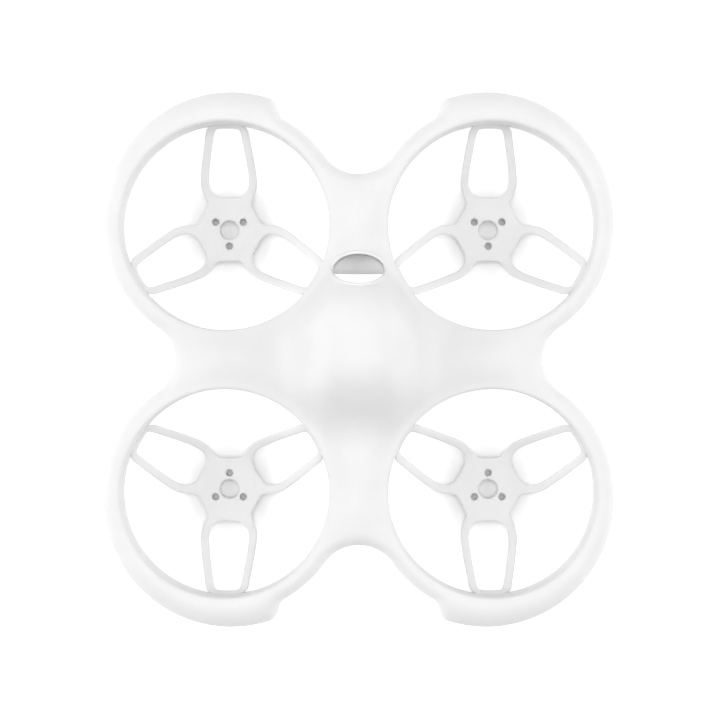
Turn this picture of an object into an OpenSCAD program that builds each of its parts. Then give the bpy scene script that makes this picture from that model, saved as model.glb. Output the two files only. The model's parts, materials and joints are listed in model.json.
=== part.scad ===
// Ducted quadcopter airframe: one smooth canopy shell over four duct rings,
// three-armed motor mounts, a cross frame with a belly battery bay, and the
// flight electronics that it carries. +Y is the nose, +X is the right side,
// +Z is up, and z = 0 is the face of the motor mounts that it stands on.

/* [Layout] */
// Distance between the left and right motor axes
motor_pitch_x = 53.4; // [50:0.1:68]
// Distance between the front and rear motor axes
motor_pitch_y = 53.4; // [50:0.1:68]
// How far the side waist lies outside the line of the motor axes
waist_out = 10.2; // [8:0.1:13]
// How far the front and rear arches lie outside the line of the motor axes
arch_out = 10.6; // [8:0.1:13]

/* [Ducts] */
// Inner radius of each duct
duct_r = 20.8; // [17:0.1:21.6]
// Thickness of the duct barrels
duct_wall = 0.8; // [0.6:0.1:1.2]
// Height of the lower edge of the duct barrels
duct_z = 8; // [6:0.1:9.4]
// Height of the flange round each barrel, where the cross frame rests
flange_t = 1.2; // [0.8:0.1:1.6]
// How far the flange stands out of the barrel
flange_w = 0.7; // [0.5:0.1:1.1]

/* [Canopy shell] */
// Height of the duct lips
lip_z = 15.6; // [14.4:0.1:20]
// Radius of the rounded duct lip
lip_roll = 0.7; // [0.5:0.1:1]
// How far the lip reaches down to the barrel
lip_depth = 1.6; // [1.4:0.1:2]
// Thickness of the shell
shell_t = 0.9; // [0.7:0.05:1.1]
// Distance from the duct wall's inner face to the outside of a plain rim
rim_out = 3.6; // [3.4:0.1:4.2]
// Width over which the shell's outer edge rolls down
edge_roll = 2.5; // [2:0.1:2.8]
// How far the outer edge rolls down
edge_drop = 4.2; // [3:0.1:5]
// Height of the canopy's crown over the lips
canopy_h = 14.7; // [13:0.1:18]
// Place of the crown in front of the middle
crown_y = 2; // [0:0.1:4]
// Reach of the canopy's sides
canopy_w = 11; // [10:0.1:14]
// Reach of the canopy's nose
nose_reach = 14.9; // [14:0.1:17]
// Reach of the canopy's tail
tail_reach = 12.2; // [11:0.1:15]
// Width over which the canopy rises from a duct lip
side_ramp = 3.5; // [2.5:0.1:4]
// Height of the ridges along the four arms
ridge_h = 1.4; // [0.5:0.1:2.5]

/* [Bumpers] */
// How far the front and rear bumpers stand out of the plain rim
bumper_reach = 3.1; // [1:0.1:4]
// Angle from straight outward where a bumper begins to grow
bumper_from = -20; // [-30:1:0]
// Angle by which it has its full reach
bumper_full = 115; // [100:1:120]
// Angle where it steps back to the rim
bumper_end = 109; // [100:1:120]
// Angle that the step takes
bumper_step = 9.5; // [6:0.5:14]

/* [Camera opening] */
// Half the width of the oval opening in the canopy's nose
opening_half_w = 5.15; // [4:0.05:5.4]
// Half the length of the opening
opening_half_l = 3.1; // [2.5:0.05:3.4]
// Place of the opening's middle in front of the middle of the airframe
opening_y = 17.8; // [17:0.05:18.4]
// Straight rear edge of the scoop under the opening
scoop_edge_y = 17.1; // [16.6:0.1:18]
// Depth of the scoop's bowl
scoop_deep = 2.2; // [1.8:0.1:2.6]
// Slope of the scoop's rim, which follows the nose
scoop_slope = 20; // [10:1:22]
// How far the front of the rim lies under the height of the lips
scoop_drop = 1.3; // [1.2:0.1:1.6]
// Thickness of the scoop
scoop_t = 0.7; // [0.5:0.1:1]

/* [Motor mounts] */
// Radius of the hub plate
hub_r = 6.4; // [6:0.1:7]
// Thickness of the hub plate
hub_t = 2.6; // [2:0.1:3]
// Bolt circle of the motor screws
motor_pcd = 6.6; // [6:0.1:8]
// Radius of the motor screw holes
motor_hole_r = 0.7; // [0.5:0.05:0.9]
// Radius of the hole for the motor's shaft end
shaft_hole_r = 1.95; // [1.5:0.05:2.2]
// Half the width of a spoke where it is widest
spoke_half_w = 5.8; // [5:0.1:6.2]
// Half the width of a spoke at the duct
spoke_end_half_w = 4; // [3.4:0.1:4.6]
// Half the width of a spoke's window where it is widest
window_half_w = 4.1; // [3.4:0.1:4.4]
// Half the width of the window at the duct
window_end_half_w = 2.6; // [2:0.1:3]
// Thickness of the spokes
spoke_t = 1.6; // [1.2:0.1:2]

/* [Cross frame and battery bay] */
// Thickness of the cross frame's plate
plate_t = 1.8; // [1.4:0.1:2.2]
// Half the inner width of the battery bay
bay_half_w = 8.1; // [7:0.1:8.2]
// Half the inner length of the battery bay
bay_half_l = 13.4; // [12:0.1:13.5]
// Thickness of the bay's walls
bay_wall = 0.8; // [0.6:0.1:0.9]
// Radius of the bay's outer corners
bay_corner_r = 2; // [1.5:0.1:2.5]
// Height of the bay's lower edge
bay_z = 1.6; // [1.5:0.1:2]
// Radius of the hatch's hinge pin
hinge_pin_r = 0.5; // [0.4:0.05:0.6]
// Thickness of the battery hatch
hatch_t = 1; // [0.8:0.1:1.1]

/* [Battery] */
// Width of the cells
cell_w = 15.4; // [12:0.1:15.6]
// Length of the cells
cell_l = 23; // [18:0.1:23.4]
// Thickness of one cell
cell_t = 3.6; // [2.5:0.1:3.7]

/* [Electronics] */
// Width of the flight controller board
board_w = 19; // [17.6:0.1:19.4]
// Length of the flight controller board
board_l = 22; // [20:0.1:22.4]
// Thickness of the board
board_t = 0.8; // [0.6:0.1:1]
// Distance between the board's screws
board_pitch = 16; // [15:0.1:16.2]
// Place of the board's middle behind the middle of the airframe
board_back = 1.5; // [1:0.1:1.8]
// Height of the board over the cross frame
board_gap = 2.4; // [2.2:0.1:2.6]
// Radius of the bind button's plunger
button_r = 0.8; // [0.6:0.05:1]
// Travel of the bind button
button_travel = 0.25; // [0.2:0.05:0.3]

/* [Camera cradle] */
// Inner width of the cradle, which holds the camera
cradle_w = 9.4; // [8:0.1:9.6]
// Thickness of the cradle's cheeks
cheek_t = 1; // [0.8:0.1:1]
// Place of the cradle's pivot in front of the middle
pivot_y = 11.6; // [11.4:0.1:11.8]
// Height of the pivot over the cross frame
pivot_up = 5; // [4.8:0.1:5.6]

/* [Fasteners and fits] */
// Radius of the shell screws' threads
shell_screw_r = 0.8; // [0.6:0.05:1]
// Radius of the small screws' threads
small_screw_r = 0.55; // [0.45:0.05:0.6]
// Distance of the side screws from the middle
side_screw_x = 26; // [23:0.1:27]
// Distance of the front and rear screws from the middle
end_screw_y = 27; // [25:0.1:28]
// Running clearance of pins and screws in their holes
fit = 0.05; // [0.03:0.01:0.08]
// Clearance between a moving piece and its neighbours
gap = 0.3; // [0.2:0.05:0.4]

/* [Hidden] */
$fn = 48;
eps = 0.01;

// Places that follow from the driving dimensions
hub = [motor_pitch_x / 2, motor_pitch_y / 2];
rim_r = duct_r + rim_out;
barrel_r = duct_r + duct_wall;
barrel_top = lip_z - lip_depth;
flange_z = duct_z + 1;
plate_z = flange_z + flange_t;
deck_z = plate_z + plate_t;
board_z = deck_z + board_gap;
board_top = board_z + board_t;
bay_out = [bay_half_w + bay_wall, bay_half_l + bay_wall];
saddle_r = barrel_r + fit;
pivot_at = [0, pivot_y, deck_z + pivot_up];
hinge_at = [0, -bay_out.y - 1.3, hatch_t + 0.3];
hinge_r = 1.1;
// The scoop is cut from a ball. Its round rim slopes up from the opening's front
// edge, and the ball's middle is square to the rim's plane, over the rim's middle.
scoop_rim = [0, opening_y + opening_half_l - opening_half_w * cos(scoop_slope),
    lip_z - scoop_drop + opening_half_w * sin(scoop_slope)];
scoop_r = (pow(opening_half_w, 2) + pow(scoop_deep, 2)) / (2 * scoop_deep);
scoop_at = scoop_rim
    + (scoop_r - scoop_deep) * [0, sin(scoop_slope), cos(scoop_slope)];
slot_front = scoop_edge_y + 0.6;
slot_half_w = opening_half_w + gap;

// ---- Shell surface -------------------------------------------------------
// The outline is four circles round the motor axes, joined by fillets that
// touch two neighbouring circles: one at each side waist and one at each arch.
function fillet_r(across, out) =
    (across * across + out * out - rim_r * rim_r) / (2 * (rim_r - out));
waist_fillet = fillet_r(hub.y, waist_out);
arch_fillet = fillet_r(hub.x, arch_out);
waist_at = [hub.x + waist_out + waist_fillet, 0];
arch_at = [0, hub.y + arch_out + arch_fillet];
waist_turn = atan2(-hub.y, waist_at.x - hub.x);
arch_turn = atan2(arch_at.y - hub.y, -hub.x);

// 0 below 0, 1 above 1, and a smooth rise between
function ease(t) = let(c = min(1, max(0, t))) c * c * (3 - 2 * c);
// The drop of a quarter ellipse `high`, at `far` from its foot, `wide` across
function roll(high, wide, far) =
    let(v = min(1, max(0, 1 - far / wide))) high * (1 - sqrt(1 - v * v));
// How much of the bumper stands at this angle round a motor axis, 0 to 1
function bumper(a) = ease((a - bumper_from) / (bumper_full - bumper_from))
    * (1 - ease((a - bumper_end) / bumper_step));
function rim(a) = rim_r + bumper_reach * bumper(a);

// Distance of a point in the front right quarter from the outline, inwards
function edge_far(p) = let(v = p - hub, a = atan2(v.y, v.x))
    a > waist_turn && a < arch_turn ? rim(a) - norm(v)
    : min(norm(p - waist_at) - waist_fillet, norm(p - arch_at) - arch_fillet);

// Height of the canopy and the arm ridges over the lips
function rise(x, y) = let(
        p = [abs(x), abs(y)],
        from_lip = max(0, norm(p - hub) - duct_r),
        ramp = 1 - exp(-pow(from_lip / side_ramp, 2)),
        along = y > crown_y ? exp(-pow((y - crown_y) / nose_reach, 4))
            : exp(-pow((crown_y - y) / tail_reach, 3)),
        across = exp(-pow(p.x / canopy_w, 4)),
        inland = 1 - exp(-pow(max(0, edge_far(p)) / 5, 2)))
    ramp * (canopy_h * along * across + ridge_h * inland);
// Steepness of the canopy, limited to the steepest wall that the shell thickens
function steepness(x, y, e = 0.1) = min(2.2, norm([
    rise(x + e, y) - rise(x - e, y), rise(x, y + e) - rise(x, y - e)]) / (2 * e));

// Height of the outer skin (inset 0) or the inner skin (inset shell_t)
function skin_z(x, y, far, inset) = let(
        p = [abs(x), abs(y)], v = p - hub, b = bumper(atan2(v.y, v.x)),
        from_lip = norm(v) - duct_r - inset, lip = inset > 0 ? 0.3 : lip_roll,
        wide = edge_roll + bumper_reach * b - inset)
    lip_z + rise(x, y) - inset * sqrt(1 + pow(steepness(x, y), 2))
        - roll(lip, lip, from_lip) - roll(edge_drop + 1.6 * b, wide, far - inset);

// Rays fan out from a motor axis: the first rays_out end at the outline, the
// next rays_in at the plane x = 0, and the last rays_in at the plane y = 0.
rays_out = 48;
rays_in = 12;
rays = rays_out + 2 * rays_in;
rows = 7;
row_count = rows + 3;

function ray_angle(i, inset) = let(
        first = atan2(-hub.y, waist_out - inset), last = atan2(arch_out - inset, -hub.x),
        middle = 180 + atan2(hub.y, hub.x))
    i <= rays_out ? first + (last - first) * i / rays_out
    : i <= rays_out + rays_in ? last + (middle - last) * (i - rays_out) / rays_in
    : middle + (first + 360 - middle) * (i - rays_out - rays_in) / rays_in;
// Where a ray along `e` meets a fillet's circle
function to_fillet(e, at, r) = let(c = at - hub, b = e * c) b - sqrt(b * b - c * c + r * r);
function ray_length(i, a, inset) = let(e = [cos(a), sin(a)])
    i > rays_out + rays_in ? -hub.y / e.y
    : i > rays_out ? -hub.x / e.x
    : a < waist_turn ? to_fillet(e, waist_at, waist_fillet + inset)
    : a > arch_turn ? to_fillet(e, arch_at, arch_fillet + inset)
    : rim(a) - inset;

// One point: row 0 is the foot of the lip, the last row is the skirt's foot
function skin_point(i, j, inset, side) = let(
        a = ray_angle(i, inset),
        start = duct_r + inset,
        end = ray_length(i, a, inset),
        k = min(rows, max(0, j - 1)),
        r = start + (end - start) * (1 - cos(180 * k / rows)) / 2,
        on_x0 = k == rows && i >= rays_out && i <= rays_out + rays_in,
        on_y0 = k == rows && (i >= rays_out + rays_in || i == 0),
        x = on_x0 ? 0 : side.x * (hub.x + r * cos(a)),
        y = on_y0 ? 0 : side.y * (hub.y + r * sin(a)),
        far = k == rows && i <= rays_out ? inset : edge_far([abs(x), abs(y)]))
    [x, y, j == 0 ? barrel_top : j == row_count - 1 ? duct_z : skin_z(x, y, far, inset)];

QUARTERS = [[1, 1], [-1, 1], [-1, -1], [1, -1]];
// Points on a plane of symmetry belong to the quarter on its positive side
function owner(q, i, j) = let(
        side = QUARTERS[q],
        x0 = j > rows && i >= rays_out && i <= rays_out + rays_in,
        y0 = j > rows && (i >= rays_out + rays_in || i == 0),
        s = [x0 ? 1 : side.x, y0 ? 1 : side.y])
    s.x > 0 ? (s.y > 0 ? 0 : 3) : (s.y > 0 ? 1 : 2);
function spot(q, i, j, skin) = let(n = i % rays)
    ((skin * 4 + owner(q, n, j)) * rays + n) * row_count + j;
function turned(f, flip) = flip ? [f[3], f[2], f[1], f[0]] : f;

module shell_skin() {
    points = [for (skin = [0, 1], side = QUARTERS, i = [0:rays - 1], j = [0:row_count - 1])
        skin_point(i, j, skin * shell_t, side)];
    faces = [for (q = [0:3]) let(flip = QUARTERS[q].x * QUARTERS[q].y < 0)
        for (i = [0:rays - 1]) let(last = i < rays_out ? row_count - 1 : rows + 1) each [
            for (skin = [0, 1], j = [0:last - 1])
                turned([spot(q, i, j, skin), spot(q, i + 1, j, skin),
                    spot(q, i + 1, j + 1, skin), spot(q, i, j + 1, skin)],
                    (skin == 1) != flip),
            turned([spot(q, i, 0, 0), spot(q, i, 0, 1), spot(q, i + 1, 0, 1),
                spot(q, i + 1, 0, 0)], flip),
            if (i < rays_out) turned([spot(q, i, last, 0), spot(q, i + 1, last, 0),
                spot(q, i + 1, last, 1), spot(q, i, last, 1)], flip)]];
    polyhedron(points, faces, convexity = 10);
}

// ---- Shared small shapes -------------------------------------------------
module slab(size, r) {
    translate([-size.x / 2 + r, -size.y / 2, 0]) cube([size.x - 2 * r, size.y, size.z]);
    translate([-size.x / 2, -size.y / 2 + r, 0]) cube([size.x, size.y - 2 * r, size.z]);
    for (x = [-1, 1], y = [-1, 1])
        translate([x * (size.x / 2 - r), y * (size.y / 2 - r), 0]) cylinder(r = r, h = size.z);
}
module ring(r, hole, h) {
    difference() {
        cylinder(r = r, h = h);
        translate([0, 0, -1]) cylinder(r = hole, h = h + 2);
    }
}
module block(size, at) {
    translate([at.x - size.x / 2, at.y - size.y / 2, at.z]) cube(size);
}
module shell_screw_places() {
    for (x = [-1, 1]) translate([x * side_screw_x, 0, 0]) children();
    for (y = [-1, 1]) translate([0, y * end_screw_y, 0]) children();
}
module board_screw_places() {
    for (x = [-1, 1], y = [-1, 1])
        translate([x * board_pitch / 2, y * board_pitch / 2 - board_back, 0]) children();
}

// ---- Moulded airframe ----------------------------------------------------
boss_r = 2;
boss_sink = 0.35;
module canopy_shell() {
    color("white") difference() {
        union() {
            shell_skin();
            shell_screw_places() translate([0, 0, deck_z])
                cylinder(r = boss_r, h = lip_z + boss_sink - deck_z);
        }
        translate([0, opening_y, lip_z]) linear_extrude(canopy_h)
            scale([1, opening_half_l / opening_half_w]) circle(r = opening_half_w, $fn = 96);
        shell_screw_places() translate([0, 0, deck_z - 1])
            cylinder(r = shell_screw_r + fit, h = lip_z - deck_z);
    }
}

// Half the width of a spoke, and of its window, at radius r from the hub
spoke_from = 5.4;
spoke_root_half_w = 4.6;
spoke_wide_at = 9.5;
window_from = 6.6;
window_wide_at = 10;
window_to = duct_r - 0.6;
function spoke_half(r) = r < spoke_wide_at
    ? spoke_root_half_w + (spoke_half_w - spoke_root_half_w)
        * ease((r - spoke_from) / (spoke_wide_at - spoke_from))
    : spoke_half_w - (spoke_half_w - spoke_end_half_w)
        * pow((r - spoke_wide_at) / (duct_r - spoke_wide_at), 1.3);
function window_half(r) = r < window_wide_at
    ? window_half_w * pow(1 - pow((window_wide_at - r) / (window_wide_at - window_from), 2.6), 0.45)
    : (window_half_w - (window_half_w - window_end_half_w)
        * pow((r - window_wide_at) / (window_to - window_wide_at), 1.2))
        * sqrt(1 - pow((r - window_wide_at) / (window_to - window_wide_at), 14));
// A closed outline, from the inner end out along one side and back
function spoke_outline(stretch) = let(n = 12, end = duct_r + duct_wall / 2,
        side = [for (k = [0:n]) let(r = spoke_from + (end - spoke_from) * k / n)
            [r * stretch, spoke_half(r)]])
    concat(side, [for (k = [n:-1:0]) [side[k].x, -side[k].y]]);
function window_outline(stretch) = let(n = 18,
        side = [for (k = [0:n]) let(r = window_from + (window_to - window_from)
            * (1 - cos(180 * k / n)) / 2) [r * stretch, window_half(r)]])
    concat(side, [for (k = [n - 1:-1:1]) [side[k].x, -side[k].y]]);

spoke_foot = 0.7;
spoke_rise = atan2(duct_z + 0.3 - spoke_foot, barrel_r - hub_r);
module spoke() {
    stretch = 1 / cos(spoke_rise);
    translate([hub_r, 0, spoke_foot]) rotate([0, -spoke_rise, 0])
        translate([-hub_r * stretch, 0, 0]) linear_extrude(spoke_t) difference() {
            polygon(spoke_outline(stretch));
            polygon(window_outline(stretch));
        }
}
module duct(turn) {
    color("white") translate([turn.x * hub.x, turn.y * hub.y, 0]) difference() {
        union() {
            translate([0, 0, duct_z]) ring(barrel_r, duct_r, barrel_top - duct_z);
            translate([0, 0, flange_z]) ring(barrel_r + flange_w, barrel_r - 0.4, flange_t);
            intersection() {
                union() for (a = [90, 210, 330]) rotate(a * turn.y) spoke();
                translate([0, 0, -1]) cylinder(r = barrel_r - 0.1, h = barrel_top);
            }
            cylinder(r = hub_r, h = hub_t);
        }
        translate([0, 0, -1]) cylinder(r = shaft_hole_r, h = hub_t + 2);
        for (a = [30, 150, 270]) rotate(a * turn.y) translate([motor_pcd / 2, 0, -1])
            cylinder(r = motor_hole_r, h = hub_t + 2);
    }
}
module duct_front_left() { duct([-1, 1]); }
module duct_front_right() { duct([1, 1]); }
module duct_rear_left() { duct([-1, -1]); }
module duct_rear_right() { duct([1, -1]); }

// The plate is a square with a bite for each barrel, which leaves four arms;
// the bay hangs under it, with lugs for the hatch's hinge at its rear.
lug_in = 3.2;
lug_w = 1.8;
module hinge_knuckle(x, w, reach) {
    translate([x, hinge_at.y, hinge_at.z]) rotate([0, 90, 0]) cylinder(r = hinge_r, h = w);
    translate([x, hinge_at.y, hinge_at.z - hinge_r]) cube([w, reach, hinge_r]);
}
module cross_frame() {
    arm = max(hub.x, hub.y) + 3.3;
    lead_slot = [4.4, 2.2];
    color("whitesmoke") difference() {
        union() {
            translate([-arm, -arm, plate_z]) cube([2 * arm, 2 * arm, plate_t]);
            translate([0, 0, bay_z])
                slab([2 * bay_out.x, 2 * bay_out.y, plate_z - bay_z + eps], bay_corner_r);
            board_screw_places() translate([0, 0, deck_z - eps])
                cylinder(r = 1.6, h = board_gap - 0.6 + eps);
            for (x = [lug_in, -lug_in - lug_w]) {
                translate([x, hinge_at.y, hinge_at.z]) rotate([0, 90, 0])
                    cylinder(r = hinge_r, h = lug_w);
                translate([x, hinge_at.y - hinge_r, hinge_at.z])
                    cube([lug_w, -bay_out.y - hinge_at.y + hinge_r + bay_wall, 2 * hinge_r]);
            }
        }
        for (x = [-1, 1], y = [-1, 1]) translate([x * hub.x, y * hub.y, 0]) {
            translate([0, 0, plate_z - 1]) cylinder(r = saddle_r, h = plate_t + 4);
            translate([0, 0, duct_z - gap])
                cylinder(r = barrel_r + flange_w + fit, h = plate_z - duct_z + gap);
        }
        translate([0, 0, bay_z - 1]) translate([-bay_half_w, -bay_half_l, 0])
            cube([2 * bay_half_w, 2 * bay_half_l, plate_z - bay_z + 1]);
        translate([-slot_half_w, bay_out.y, plate_z - 1])
            cube([2 * slot_half_w, slot_front - bay_out.y, plate_t + 2]);
        block([lead_slot.x, lead_slot.y, plate_t + 2], [0, -bay_half_l + 1.2, plate_z - 1]);
        shell_screw_places() translate([0, 0, plate_z - 1])
            cylinder(r = shell_screw_r + fit, h = plate_t + 2);
        board_screw_places() translate([0, 0, deck_z - 0.8])
            cylinder(r = small_screw_r + fit, h = board_gap + 2);
        translate([-10, hinge_at.y, hinge_at.z]) rotate([0, 90, 0])
            cylinder(r = hinge_pin_r + fit, h = 20);
    }
}

// A shallow bowl under the front of the opening, on a foot on the front arm
module nose_scoop() {
    foot = [5, 2.6, lip_z - scoop_drop - 0.3 - deck_z];
    color("white") difference() {
        union() {
            translate(scoop_at) sphere(r = scoop_r + scoop_t);
            block(foot, [0, slot_front + gap + foot.y / 2, deck_z]);
        }
        translate(scoop_at) sphere(r = scoop_r);
        translate([-20, scoop_edge_y - 40, 0]) cube(40);
        translate(scoop_rim) rotate([-scoop_slope, 0, 0]) translate([-30, -30, 0]) cube(60);
        translate([-20, -20, -28]) cube([40, 60, 28 + deck_z]);
    }
}

// ---- Fasteners -----------------------------------------------------------
module screw(r, length, head_r, head_h) {
    cylinder(r = r, h = length);
    translate([0, 0, -head_h]) cylinder(r = head_r, h = head_h);
}
module shell_screws() {
    color("dimgray") shell_screw_places() translate([0, 0, plate_z])
        screw(shell_screw_r, plate_t + lip_z - deck_z - 1.4, 1.5, 1);
}
module board_screws() {
    color("dimgray") board_screw_places() translate([0, 0, board_top + 0.8])
        mirror([0, 0, 1]) screw(small_screw_r, board_top + 1.1 - deck_z, 1.15, 0.7);
}

// ---- Camera cradle -------------------------------------------------------
upright_in = cradle_w / 2 + cheek_t + gap;
upright_t = 1;
module camera_bracket() {
    foot_l = 3.6;
    color("whitesmoke") difference() {
        union() {
            block([2 * (upright_in + upright_t), foot_l, 0.8], [0, pivot_y + 0.5, deck_z]);
            for (x = [-1, 1]) {
                block([upright_t, foot_l, pivot_up], [x * (upright_in + upright_t / 2),
                    pivot_y + 0.5, deck_z]);
                translate([x * (upright_in + upright_t / 2), pivot_y, pivot_at.z])
                    rotate([0, 90, 0]) cylinder(r = 1.8, h = upright_t, center = true);
            }
        }
        translate([-20, pivot_y, pivot_at.z]) rotate([0, 90, 0])
            cylinder(r = small_screw_r + fit, h = 40);
    }
}
module camera_cradle() {
    cheek_r = 1.9;
    back_h = 4.9;
    color("gainsboro") difference() {
        union() {
            for (x = [-1, 1]) {
                translate([x * (cradle_w + cheek_t) / 2, pivot_y, pivot_at.z])
                    rotate([0, 90, 0]) cylinder(r = cheek_r, h = cheek_t, center = true);
                block([cheek_t, 3, 2.2], [x * (cradle_w + cheek_t) / 2, pivot_y - 1.5,
                    pivot_at.z - 0.4]);
            }
            block([cradle_w + 2 * cheek_t, 0.9, back_h], [0, pivot_y - 2.95, pivot_at.z - 0.4]);
        }
        translate([-20, pivot_y, pivot_at.z]) rotate([0, 90, 0])
            cylinder(r = small_screw_r + fit, h = 40);
        for (x = [-1, 1]) translate([x * 3, pivot_y - 5, pivot_at.z + 2.6])
            rotate([-90, 0, 0]) cylinder(r = 0.6, h = 4);
    }
}
module cradle_screws() {
    reach = upright_t + gap + cheek_t;
    color("dimgray") for (x = [-1, 1]) translate([x * (upright_in + upright_t), pivot_y,
        pivot_at.z]) rotate([0, -90 * x, 0]) screw(small_screw_r, reach, 1.1, 0.7);
}

// ---- Flight controller ---------------------------------------------------
grommet_r = 1.9;
module controller_board() {
    color("darkslategray") difference() {
        translate([0, -board_back, board_z]) slab([board_w, board_l, board_t], 0.8);
        board_screw_places() translate([0, 0, board_z - 1]) cylinder(r = 1.2, h = 4);
    }
}
// A grommet is a ring with a groove that the board sits in
module board_grommets() {
    color("darkorange") board_screw_places() translate([0, 0, board_z - 0.6])
        rotate_extrude() polygon([[small_screw_r + 0.15, 0], [grommet_r, 0], [grommet_r, 0.6],
            [1.2, 0.6], [1.2, 0.6 + board_t], [grommet_r, 0.6 + board_t],
            [grommet_r, 1.4 + board_t], [small_screw_r + 0.15, 1.4 + board_t]]);
}
module processor() {
    color("black") block([6, 6, 0.9], [-1, -2, board_top]);
}
module motor_drivers() {
    color("black") for (x = [-1, 1], y = [0:2])
        block([2.4, 2.4, 0.7], [x * 7.6 - 0.2, (y - 1) * 3.4 - board_back, board_top]);
}
module board_sensors() {
    color("dimgray") {
        block([2.4, 2.4, 0.8], [-0.3, 3.6, board_top]);
        block([1.6, 1.2, 0.7], [2.6, 3.6, board_top]);
        block([2, 1.6, 0.9], [3.8, -6.6, board_top]);
    }
}
module chip_antenna() {
    color("ivory") block([5.2, 1.8, 1.2], [-1, -8.6, board_top]);
}
module usb_port() {
    color("silver") difference() {
        block([3.4, 5, 2.4], [4.4, -1.6, board_top]);
        block([2.4, 4, 1.2], [4.9, -1.6, board_top + 0.6]);
    }
}
module motor_sockets() {
    color("ivory") for (x = [-1, 1], y = [-1, 1]) translate([x * 4.3, y * 9.6 - board_back, 0])
        difference() {
            block([3, 2.2, 2.1], [0, 0, board_z - 2.1]);
            block([2.2, 1.4, 1.4], [0, y * 0.8, board_z - 1.75]);
        }
}
plug_y = -9.4;
module power_socket() {
    color("ivory") difference() {
        block([4.4, 3, 2.1], [0, plug_y + 2.9, board_z - 2.1]);
        block([3.2, 2.2, 1.3], [0, plug_y + 2.1, board_z - 1.7]);
    }
}
module battery_plug() {
    color("white") {
        block([4.4, 2.8, 2.1], [0, plug_y, board_z - 2.1]);
        block([3, 1.5, 1.1], [0, plug_y + 2.1, board_z - 1.6]);
    }
}

// ---- Battery -------------------------------------------------------------
cells_z = bay_z + 0.3;
cells_y = bay_half_l - cell_l / 2 - 0.3;
cell_gap = 0.1;
module battery_cells() {
    color("lightsteelblue") for (k = [0, 1]) translate([0, cells_y,
        cells_z + k * (cell_t + cell_gap)]) slab([cell_w, cell_l, cell_t], 1);
}
board_face_y = cells_y - cell_l / 2 - 0.8;
module battery_board() {
    color("darkgreen") block([10, 0.8, 5], [0, board_face_y + 0.4, cells_z + 1]);
}
module battery_pad() {
    pad_z = cells_z + 2 * cell_t + cell_gap;
    color("dimgray") block([10, 14, plate_z - pad_z - 0.1], [0, cells_y, pad_z]);
}

// A wire is a tube of rings, square to the way between the points on each side
lead_r = 0.38;
lead_side = 1.1;
lead_route = [[board_face_y, 5], [-12.1, 5.1], [-12.35, 5.6], [-12.4, 6.5], [-12.4, 8.5],
    [-12.4, 10.5], [-12.3, 12.3], [-12, 12.9], [-11.5, 13.2], [plug_y - 1.4, 13.2]];
function heading(path, k) = let(a = path[max(0, k - 1)], b = path[min(len(path) - 1, k + 1)])
    (b - a) / norm(b - a);
module wire(x, path, r, sides = 8) {
    points = [for (k = [0:len(path) - 1]) let(h = heading(path, k))
        for (s = [0:sides - 1]) let(a = 360 * s / sides)
        [x + r * cos(a), path[k].x - r * sin(a) * h.y, path[k].y + r * sin(a) * h.x]];
    n = len(path);
    faces = concat([for (k = [0:n - 2], s = [0:sides - 1]) let(t = (s + 1) % sides)
            [k * sides + s, k * sides + t, (k + 1) * sides + t, (k + 1) * sides + s]],
        [[for (s = [sides - 1:-1:0]) s], [for (s = [0:sides - 1]) (n - 1) * sides + s]]);
    polyhedron(points, faces);
}
module battery_leads() {
    color("firebrick") for (x = [-lead_side, lead_side]) wire(x, lead_route, lead_r);
}

// ---- Bind button and lights ----------------------------------------------
button_case_w = 3;
button_at = [-(board_pitch / 2 - grommet_r - button_case_w / 2 - 0.1), 5.6, board_top];
module button_case() {
    color("silver") translate(button_at) difference() {
        block([button_case_w, button_case_w, 1.3], [0, 0, 0]);
        translate([0, 0, 0.3]) cylinder(r = button_r + fit, h = 2);
    }
}
module bind_button() {
    color("black") translate(button_at + [0, 0, 0.3 + button_travel + 0.1])
        cylinder(r = button_r, h = 1.4);
}
module status_lights() {
    color("white") for (x = [-1, 0, 1]) block([0.8, 0.6, 0.5], [x * 1.4 + 0.8, 7.4, board_top]);
}

// ---- Hatch ---------------------------------------------------------------
module battery_hatch() {
    bottom = 0.3;
    color("white") difference() {
        union() {
            translate([0, 0, bottom]) slab([2 * bay_out.x, 2 * bay_out.y, hatch_t], bay_corner_r);
            for (x = [lug_in + lug_w + gap / 2, -lug_in - lug_w - gap / 2 - 1.6]) {
                translate([x, hinge_at.y, hinge_at.z]) rotate([0, 90, 0])
                    cylinder(r = hinge_r, h = 1.6);
                translate([x, hinge_at.y, bottom]) cube([1.6, 2.4, hatch_t]);
            }
        }
        translate([-10, hinge_at.y, hinge_at.z]) rotate([0, 90, 0])
            cylinder(r = hinge_pin_r + fit, h = 20);
        for (k = [0:3]) translate([0, bay_out.y - 3 - 1.4 * k, bottom - 0.6])
            cube([7, 0.5, 1.4], center = true);
        for (x = [-1, 1]) translate([x * (lug_in + lug_w / 2), -bay_out.y, 0])
            cube([lug_w + gap, 1.2, 6], center = true);
    }
}
module hatch_pin() {
    half = lug_in + lug_w + gap + 1.6;
    color("silver") translate([-half, hinge_at.y, hinge_at.z]) rotate([0, 90, 0])
        cylinder(r = hinge_pin_r, h = 2 * half);
}

canopy_shell();
duct_front_left();
duct_front_right();
duct_rear_left();
duct_rear_right();
cross_frame();
nose_scoop();
shell_screws();
camera_bracket();
camera_cradle();
cradle_screws();
controller_board();
board_grommets();
board_screws();
processor();
motor_drivers();
board_sensors();
chip_antenna();
usb_port();
motor_sockets();
power_socket();
battery_plug();
battery_leads();
battery_cells();
battery_board();
battery_pad();
button_case();
bind_button();
status_lights();
battery_hatch();
hatch_pin();
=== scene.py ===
# %% [markdown]
# # A ducted quadcopter airframe
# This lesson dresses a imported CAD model: a small white quadcopter airframe with a smooth
# canopy over four duct rings. The CAD pieces stay where they are. The visible mouldings are
# made again as fine numpy surfaces, and every piece gets a material built from nodes.

# %% The frame, and the CAD model's box
import json

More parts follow.
